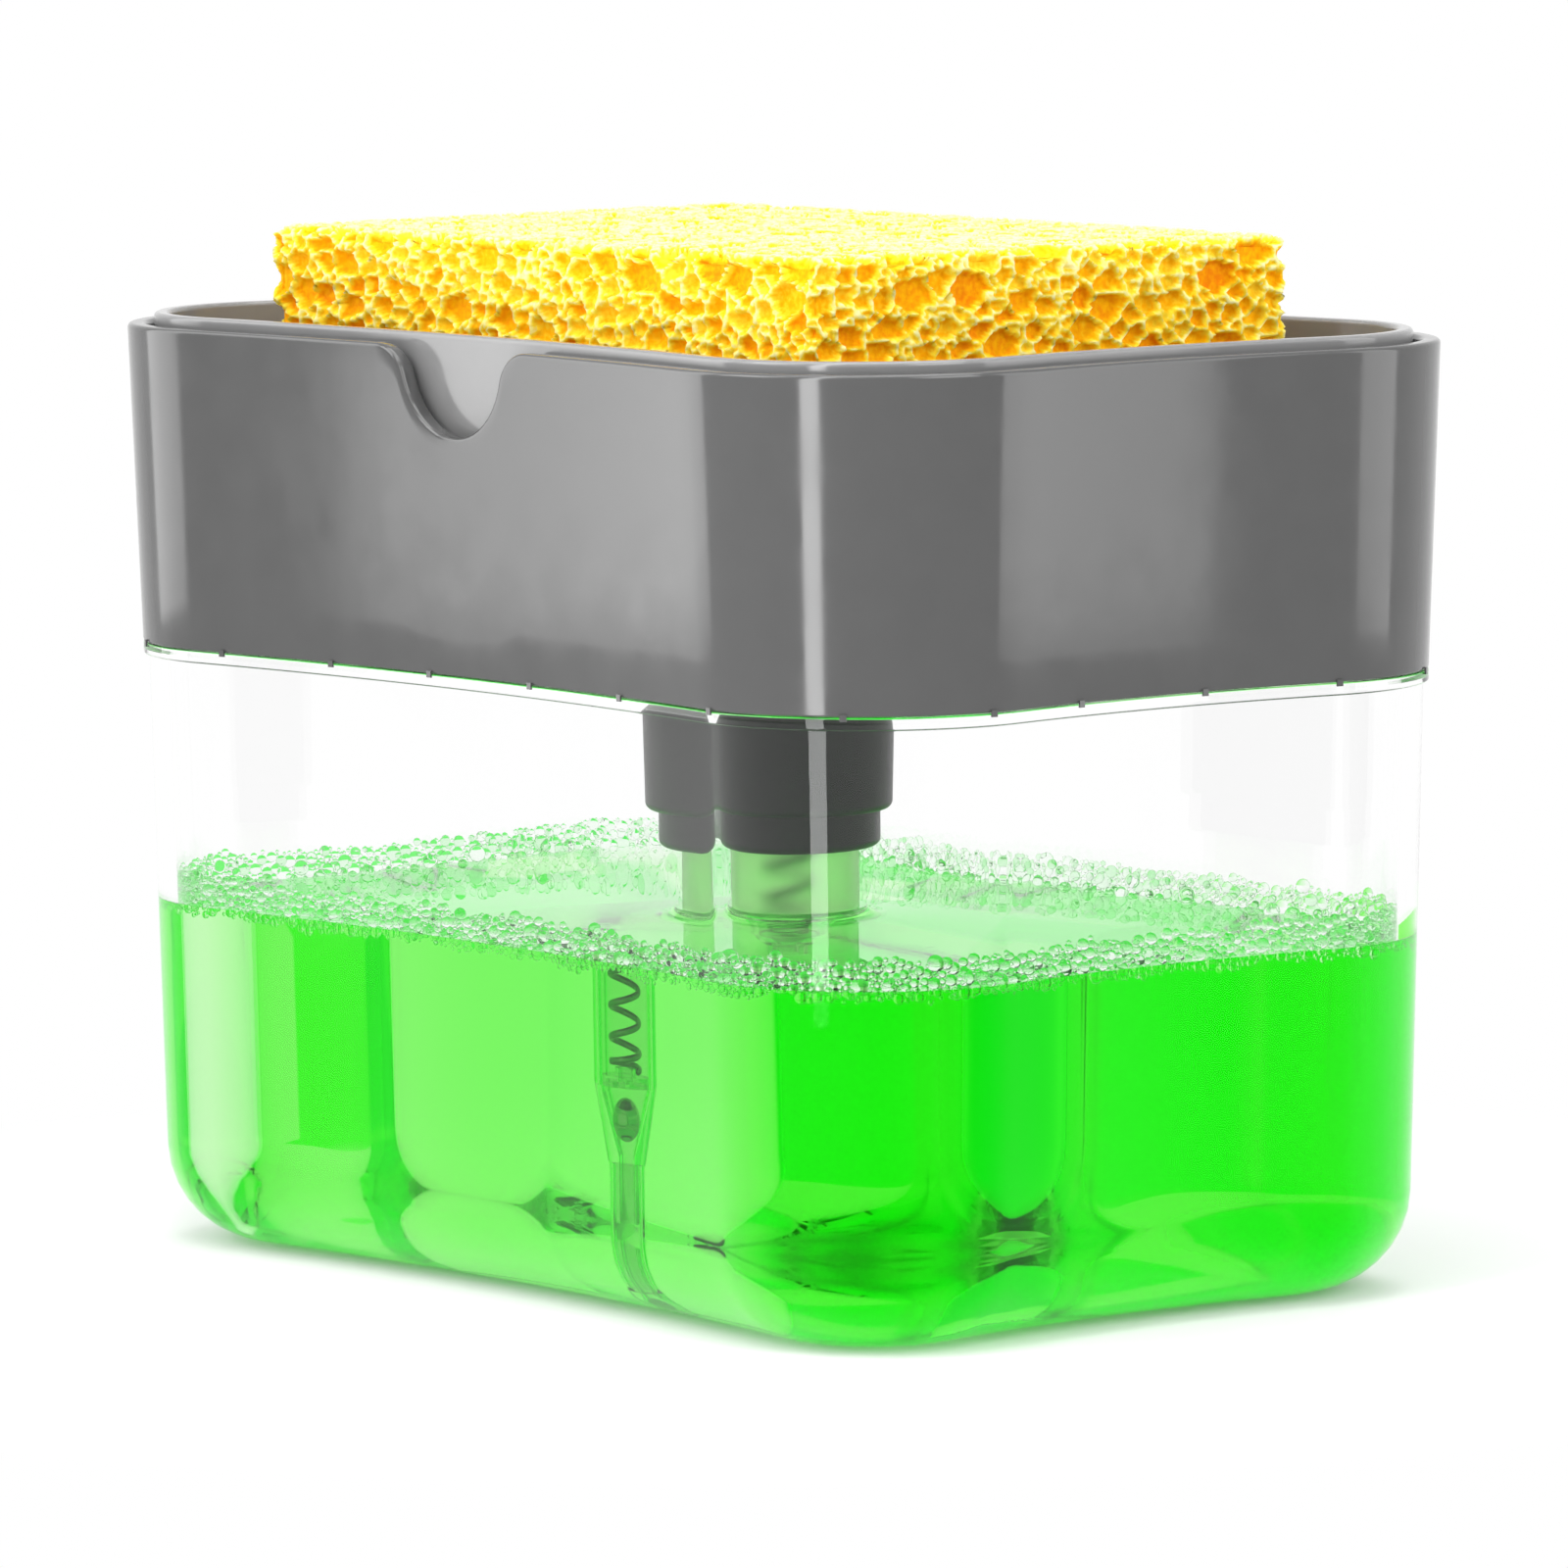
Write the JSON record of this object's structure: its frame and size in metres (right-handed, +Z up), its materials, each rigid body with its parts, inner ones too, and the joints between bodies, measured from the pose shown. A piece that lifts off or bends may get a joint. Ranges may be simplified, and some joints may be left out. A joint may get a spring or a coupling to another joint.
{
  "type": "soap pump caddy",
  "caption": "Clear waisted soap tank with a grey pump housing on top and a spring-returned press tray that wets the sponge standing in it.",
  "frame": {"origin": "centre of the tank's flat foot, on the surface that it stands on", "axes": "+Z up along the pump's axis, +X along the long side, the finger notch faces -Y"},
  "size_m": [0.132, 0.09, 0.1077],
  "materials": {
    "clear_plastic": "clear moulded styrene, polished",
    "green_soap": "clear bright green liquid",
    "grey_plastic": "moulded ABS, glossy",
    "grey_tray": "moulded ABS, satin gloss",
    "cellulose": "open-pored cellulose sponge",
    "dark_plastic": "moulded polypropylene, satin",
    "milky_plastic": "natural polypropylene, milky and see-through",
    "seal_plastic": "soft polyethylene",
    "black_rubber": "flat cut rubber",
    "spring_steel": "drawn stainless wire",
    "ball_steel": "polished stainless ball"
  },
  "bodies": {
    "tank": {"reservoir": "clear_plastic", "soap_fill": "green_soap"},
    "upper_unit": {"upper_housing": "grey_plastic", "collar_nut": "dark_plastic", "barrel_gasket": "black_rubber", "stem_guide": "milky_plastic", "pump_barrel": "milky_plastic", "dip_tube": "milky_plastic", "ball_cage": "milky_plastic", "return_spring": "spring_steel"},
    "plunger": {"plunger_head": "dark_plastic", "plunger_stem": "milky_plastic", "piston_seal": "seal_plastic", "spring_seat": "milky_plastic"},
    "tray": {"press_tray": "grey_tray"},
    "sponge_pad": {"sponge": "cellulose"},
    "inlet_valve": {"inlet_ball": "ball_steel"},
    "outlet_valve": {"outlet_ball": "ball_steel"}
  },
  "joints": [
    {"name": "upper_unit_lift", "type": "slide", "parent": "tank", "child": "upper_unit", "axis": [0, 0, 1], "range_m": [0, 0.07]},
    {"name": "press", "type": "slide", "parent": "upper_unit", "child": "plunger", "axis": [0, 0, 1], "range_m": [-0.009, 0], "stiffness_N_per_m": 350, "springref_m": 0.011, "deforming": ["return_spring"]},
    {"name": "tray_lift", "type": "slide", "parent": "plunger", "child": "tray", "axis": [0, 0, 1], "range_m": [0, 0.03]},
    {"name": "sponge_lift", "type": "slide", "parent": "tray", "child": "sponge_pad", "axis": [0, 0, 1], "range_m": [0, 0.04]},
    {"name": "inlet_ball_lift", "type": "slide", "parent": "upper_unit", "child": "inlet_valve", "axis": [0, 0, 1], "range_m": [0, 0.0008]},
    {"name": "outlet_ball_lift", "type": "slide", "parent": "plunger", "child": "outlet_valve", "axis": [0, 0, 1], "range_m": [0, 0.0008]}
  ]
}
